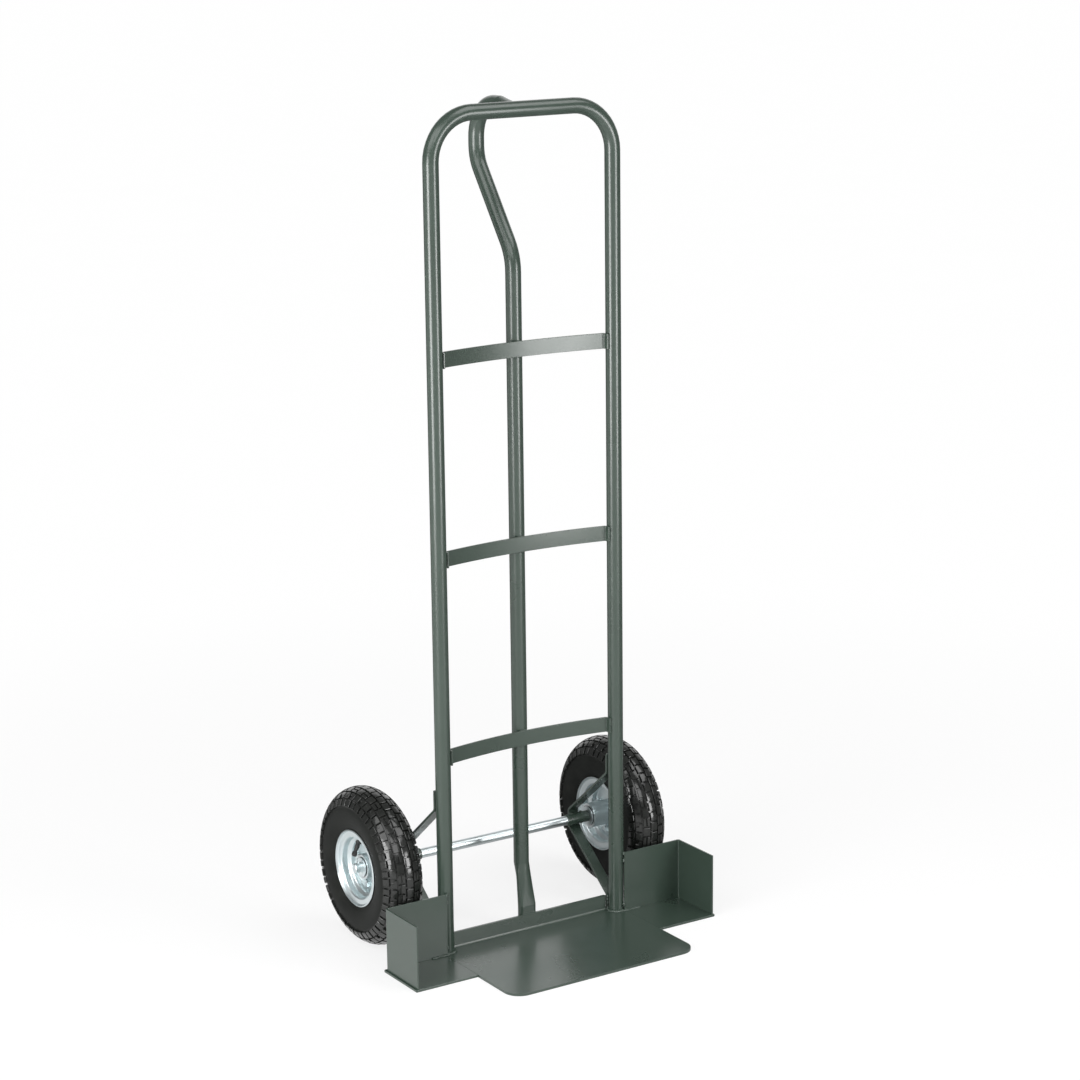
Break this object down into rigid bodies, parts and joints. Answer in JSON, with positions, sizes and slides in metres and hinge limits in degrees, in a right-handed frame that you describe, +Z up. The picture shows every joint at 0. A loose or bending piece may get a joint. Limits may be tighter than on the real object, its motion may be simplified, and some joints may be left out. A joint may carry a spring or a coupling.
{
  "type": "chair stack dolly",
  "caption": "Upright two-wheeled dolly with a bent tube frame, centre grip tube, cross straps, a toe plate with guarded wings, and pneumatic wheels.",
  "frame": {"origin": "on the toe plate's underside, in the posts' plane, midway between the posts", "axes": "+Z up along the posts, +X to the object's right, -Y towards the load side and the toe plate's nose"},
  "size_m": [0.5732, 0.4655, 1.3535],
  "materials": {
    "enamel": "glossy dark grey-green enamel",
    "zinc": "bright zinc plate",
    "bearing_steel": "ground steel",
    "tyre_rubber": "black rubber, slightly glossy",
    "black_rubber": "matte black rubber"
  },
  "bodies": {
    "frame": {"axle": "zinc", "handle_tube": "enamel", "inner_washers": "zinc", "left_axle_bracket": "enamel", "left_axle_sleeve": "enamel", "left_bearing_inner_rings": "bearing_steel", "left_guard": "enamel", "left_wing_plate": "enamel", "lower_strap": "enamel", "main_frame_tube": "enamel", "middle_strap": "enamel", "outer_washers": "zinc", "right_axle_bracket": "enamel", "right_axle_sleeve": "enamel", "right_bearing_inner_rings": "bearing_steel", "right_guard": "enamel", "right_wing_plate": "enamel", "split_pins": "zinc", "toe_plate": "enamel", "upper_strap": "enamel"},
    "left_wheel": {"left_tyre": "tyre_rubber", "left_inner_tube": "black_rubber", "left_outer_rim_half": "zinc", "left_inner_rim_half": "zinc", "left_hub_barrel": "zinc", "left_bearing_outer_rings": "bearing_steel", "left_bearing_balls": "bearing_steel", "left_rim_bolts": "zinc", "left_rim_nuts": "zinc", "left_valve_stem": "black_rubber", "left_valve_cap": "black_rubber"},
    "right_wheel": {"right_tyre": "tyre_rubber", "right_inner_tube": "black_rubber", "right_outer_rim_half": "zinc", "right_inner_rim_half": "zinc", "right_hub_barrel": "zinc", "right_bearing_outer_rings": "bearing_steel", "right_bearing_balls": "bearing_steel", "right_rim_bolts": "zinc", "right_rim_nuts": "zinc", "right_valve_stem": "black_rubber", "right_valve_cap": "black_rubber"}
  },
  "joints": [
    {"name": "left_wheel_spin", "type": "hinge", "parent": "frame", "child": "left_wheel", "pos_m": [-0.2354, 0.118, 0.13], "axis": [1, 0, 0], "continuous": true},
    {"name": "right_wheel_spin", "type": "hinge", "parent": "frame", "child": "right_wheel", "pos_m": [0.2354, 0.118, 0.13], "axis": [1, 0, 0], "continuous": true}
  ]
}
